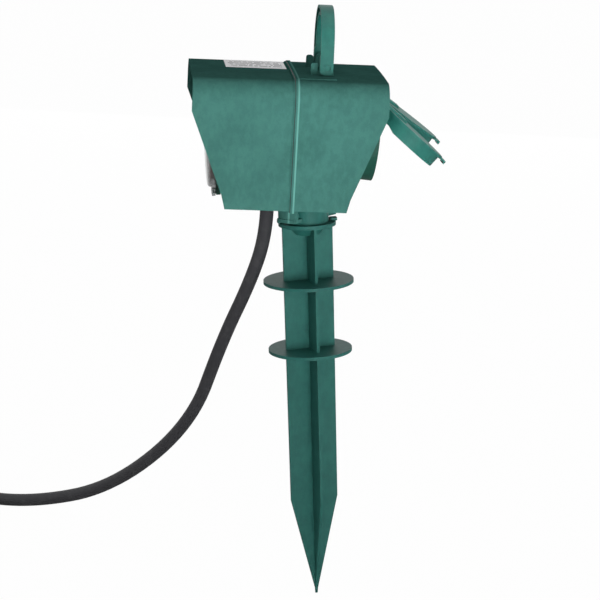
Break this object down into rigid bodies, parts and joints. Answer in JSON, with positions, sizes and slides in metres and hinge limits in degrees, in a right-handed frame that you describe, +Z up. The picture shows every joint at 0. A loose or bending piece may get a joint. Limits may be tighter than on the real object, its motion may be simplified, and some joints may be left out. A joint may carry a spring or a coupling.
{
  "type": "garden multi-socket with timer",
  "caption": "Outdoor power post: green hooded head with lidded socket outlets at one end and a daily dial timer behind a clear cover at the other, carrying handle, ground spike, cable and plug.",
  "frame": {"origin": "tip of the ground spike, which is the lowest point of the standing part", "axes": "+Z up, the head's own upright; +X along the head from the timer end to the socket end; +Y across the head, away from the side wall nearest the viewer in the picture"},
  "size_m": [0.5371, 0.2701, 0.4218],
  "materials": {
    "housing_green": "satin",
    "insert_green": "satin",
    "cover_clear": "clear, slightly smoky",
    "dial_white": "satin",
    "segment_red": "satin",
    "switch_red": "gloss",
    "gear_white": "satin",
    "inner_grey": "matte",
    "inner_black": "matte",
    "motor_steel": "brushed",
    "steel": "plain",
    "brass": "plain",
    "seal_rubber": "matte",
    "cable_rubber": "matte",
    "plug_rubber": "matte",
    "wire_cover": "gloss"
  },
  "bodies": {
    "head": {"timer_shell": "housing_green", "socket_shell": "housing_green", "shell_gasket": "seal_rubber", "shell_screws": "steel", "handle_pins": "steel", "socket_insert_near": "insert_green", "socket_insert_far": "insert_green", "contacts_near": "brass", "contacts_far": "brass", "earth_clips_near": "steel", "earth_clips_far": "steel", "lid_pins": "steel", "timer_base": "insert_green", "cover_pin": "steel", "cover_seal": "seal_rubber", "dial_bush": "brass", "gear_plate": "inner_grey", "timer_motor": "motor_steel", "terminal_block": "inner_grey", "terminal_screws": "brass", "busbar_live": "brass", "busbar_neutral": "brass", "busbar_earth": "brass", "microswitch": "inner_black", "cable_gland": "seal_rubber", "cable_sheath_end": "cable_rubber", "supply_wires": "wire_cover", "cable": "cable_rubber", "cable_coil": "cable_rubber", "cable_tail": "cable_rubber", "cable_tie": "seal_rubber", "plug_body": "plug_rubber", "plug_pins": "steel", "plug_earths": "steel"},
    "spike": {"ground_spike": "housing_green"},
    "handle": {"handle": "housing_green"},
    "lid_near": {"lid_near": "housing_green", "lid_seal_near": "seal_rubber"},
    "lid_far": {"lid_far": "housing_green", "lid_seal_far": "seal_rubber"},
    "timer_cover": {"timer_cover": "cover_clear"},
    "dial": {"dial": "dial_white", "dial_gear": "gear_white", "segments_set": "segment_red", "segments_clear": "segment_red"},
    "segment_morning": {"segment_morning": "segment_red"},
    "segment_noon": {"segment_noon": "segment_red"},
    "segment_evening": {"segment_evening": "segment_red"},
    "motor_pinion": {"motor_pinion": "brass"},
    "override_switch": {"override_switch": "switch_red"}
  },
  "joints": [
    {"name": "spike_bayonet", "type": "hinge", "parent": "head", "child": "spike", "pos_m": [0, 0, 0], "axis": [-0.0732, 0, 0.9973], "range_deg": [0, 90]},
    {"name": "handle_fold", "type": "hinge", "parent": "head", "child": "handle", "pos_m": [-0.0142, 0, 0.38312], "axis": [0, 1, 0], "range_deg": [-86, 86]},
    {"name": "lid_near_hinge", "type": "hinge", "parent": "head", "child": "lid_near", "pos_m": [0.02277, -0.0278, 0.35869], "axis": [0, -1, 0], "range_deg": [-55, 65]},
    {"name": "lid_far_hinge", "type": "hinge", "parent": "head", "child": "lid_far", "pos_m": [0.02277, 0.0278, 0.35869], "axis": [0, -1, 0], "range_deg": [-60.5, 59.5]},
    {"name": "cover_hinge", "type": "hinge", "parent": "head", "child": "timer_cover", "pos_m": [-0.09243, 0, 0.36778], "axis": [0, 1, 0], "range_deg": [0, 70]},
    {"name": "dial_turn", "type": "hinge", "parent": "head", "child": "dial", "pos_m": [-0.08448, 0, 0.32972], "axis": [-0.9962, 0, -0.0872], "continuous": true},
    {"name": "segment_morning_slide", "type": "slide", "parent": "dial", "child": "segment_morning", "axis": [0.9962, 0, 0.0872], "range_m": [0, 0.0016]},
    {"name": "segment_noon_slide", "type": "slide", "parent": "dial", "child": "segment_noon", "axis": [0.9962, 0, 0.0872], "range_m": [0, 0.0016]},
    {"name": "segment_evening_slide", "type": "slide", "parent": "dial", "child": "segment_evening", "axis": [0.9962, 0, 0.0872], "range_m": [0, 0.0016]},
    {"name": "pinion_turn", "type": "hinge", "parent": "head", "child": "motor_pinion", "pos_m": [-0.08622, -0.01394, 0.34955], "axis": [-0.9962, 0, -0.0872], "continuous": true},
    {"name": "override_slide", "type": "slide", "parent": "head", "child": "override_switch", "axis": [0, 1, 0], "range_m": [-0.0035, 0.0035]}
  ],
  "couplings": [
    {"joint": "pinion_turn", "follows": "dial_turn", "ratio": -5}
  ]
}
